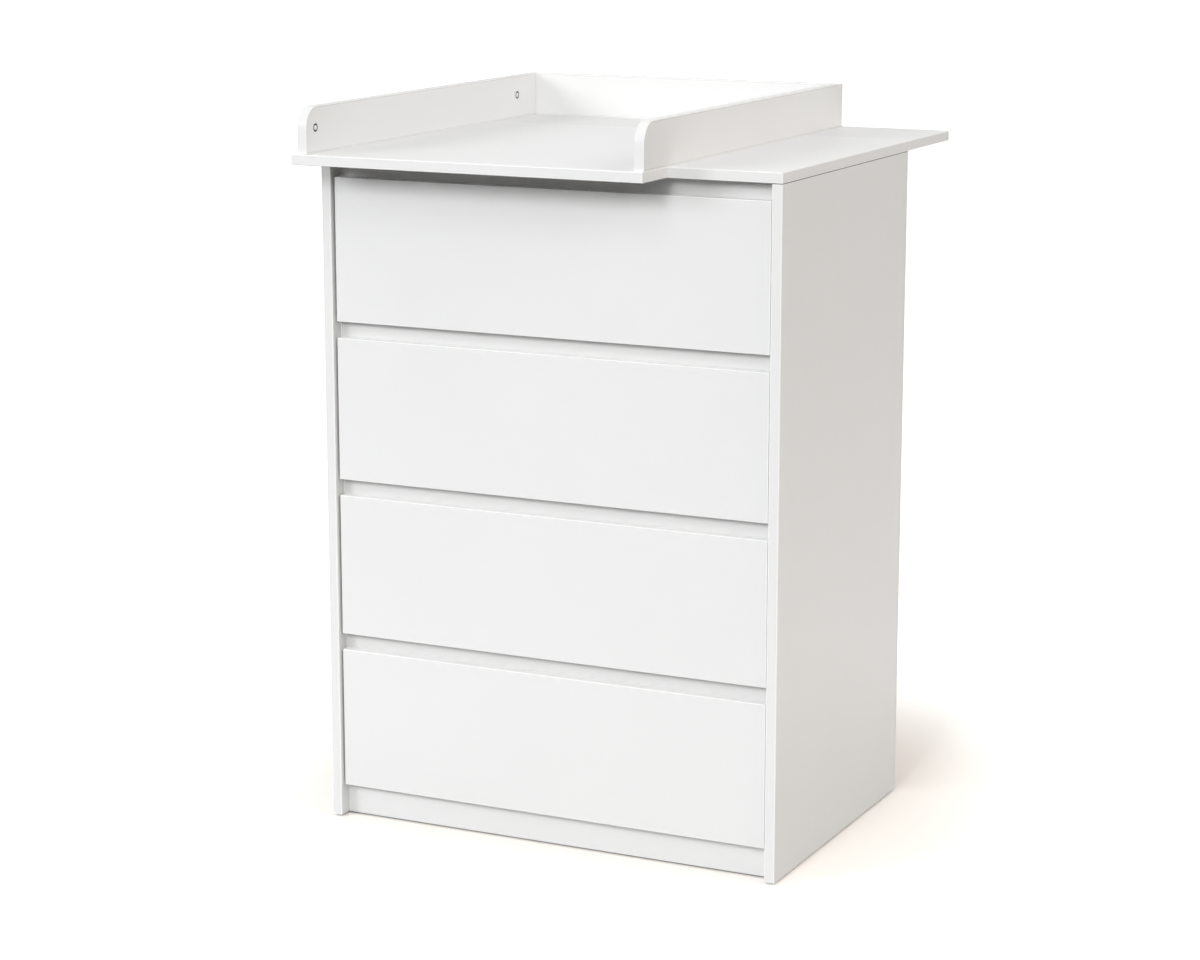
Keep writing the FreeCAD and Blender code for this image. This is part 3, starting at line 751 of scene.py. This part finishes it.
def makeFloor():
    look = floorLook
    shape = bmesh.new()
    bmesh.ops.create_grid(shape, x_segments=1, y_segments=1, size=look["size"] / 2)
    mesh = bpy.data.meshes.new("studioFloor")
    shape.to_mesh(mesh)
    shape.free()
    floor = bpy.data.objects.new("studioFloor", mesh)
    bpy.context.scene.collection.objects.link(floor)
    material = bpy.data.materials.new("studio_floor")
    material.use_nodes = True
    tree = material.node_tree
    tree.nodes.remove(tree.nodes["Principled BSDF"])
    seen = seenDirectly(tree)
    away = vectorCalc(tree, "LENGTH", addNode(tree, "ShaderNodeTexCoord").outputs["Object"])
    farther = fade(tree, away, *look["bounceChanges"])
    bounce = blendColour(tree, farther, look["bounceNear"], look["bounceFar"])
    # painted light: the seen floor is warm near the chest and brighter farther away
    whiter = fade(tree, away, *look["seenChanges"])
    shown = blendColour(tree, whiter, look["seenNear"], look["seenFar"])
    paint = blendColour(tree, seen, bounce, shown)
    matt = addNode(tree, "ShaderNodeBsdfDiffuse", {"Color": paint})
    glow = addNode(tree, "ShaderNodeEmission", {"Strength": calc(tree, "MULTIPLY", seen, look["glow"])})
    both = addNode(tree, "ShaderNodeAddShader")
    tree.links.new(matt.outputs[0], both.inputs[0])
    tree.links.new(glow.outputs[0], both.inputs[1])
    tree.links.new(both.outputs[0], tree.nodes["Material Output"].inputs["Surface"])
    mesh.materials.append(material)


def makeWorld():
    world = bpy.data.worlds.new("studioWorld")
    world.use_nodes = True
    tree = world.node_tree
    look = skyLook
    direction = split(tree, addNode(tree, "ShaderNodeTexCoord").outputs["Generated"])
    height = direction[2]
    inFront = fade(tree, direction[1], *look["frontToRear"], 1.0, 0.0)
    front = blendColour(tree, fade(tree, height, *look["frontEnds"]), look["front"], look["zenith"])
    rear = blendColour(tree, fade(tree, height, *look["rearEnds"]), look["rear"], look["zenith"])
    band = blendColour(tree, inFront, rear, front)
    lit = blendColour(tree, fade(tree, height, *look["bandStarts"]), look["horizon"], band)
    shown = blendColour(tree, seenDirectly(tree), lit, look["seen"])
    tree.links.new(shown, tree.nodes["Background"].inputs["Color"])
    bpy.context.scene.world = world


# Lamps: three soft ones in front, a high one at the right and a faint warm one below it
white = (1.0, 1.0, 1.0)
lampLooks = {
    "frontLamp": {"at": (0.4, -4.6, 2.9), "size": 1.2, "power": 57.5, "colour": white},
    "overheadLamp": {"at": (0.3, -3.4, 4.0), "size": 1.2, "power": 20.5, "colour": white},
    "leftLamp": {"at": (-3.0, -4.0, 2.4), "size": 1.4, "power": 71.0, "colour": white},
    "rightHighLamp": {"at": (3.0, -0.8, 3.2), "size": 1.6, "power": 23.4, "colour": white},
    "rightLamp": {"at": (3.6, -0.6, 1.6), "size": 1.6, "power": 10.7, "colour": (1.0, 0.70, 0.32)},
}
lampsAimAt = (0.0, 0.0, 0.5)


# Lamps and the camera look along their own -Z
def placeAimed(name, data, at, target):
    holder = bpy.data.objects.new(name, data)
    holder.location = at
    holder.rotation_euler = (Vector(target) - Vector(at)).to_track_quat("-Z", "Y").to_euler()
    bpy.context.scene.collection.objects.link(holder)
    return holder


def addLamp(name, look):
    lamp = bpy.data.lights.new(name, "AREA")
    lamp.shape = "SQUARE"
    lamp.size = look["size"]
    lamp.energy = look["power"]
    lamp.color = look["colour"]
    placeAimed(name, lamp, look["at"], lampsAimAt)


cameraLook = {
    "at": (1.8415, -3.9139, 1.4008),
    "to": (-0.0523, 0.0, 0.4765),
    "lens": 90.19,
    "sensor": 36.0,
    "clipEnd": 100.0,
}


def addCamera():
    look = cameraLook
    camera = bpy.data.cameras.new("studioCamera")
    camera.lens = look["lens"]
    camera.sensor_width = look["sensor"]
    camera.clip_end = look["clipEnd"]
    bpy.context.scene.camera = placeAimed("studioCamera", camera, look["at"], look["to"])


makeFloor()
makeWorld()
for name, look in lampLooks.items():
    addLamp(name, look)
addCamera()
bpy.context.scene.view_settings.view_transform = "Standard"
print("floor, light and camera ready")
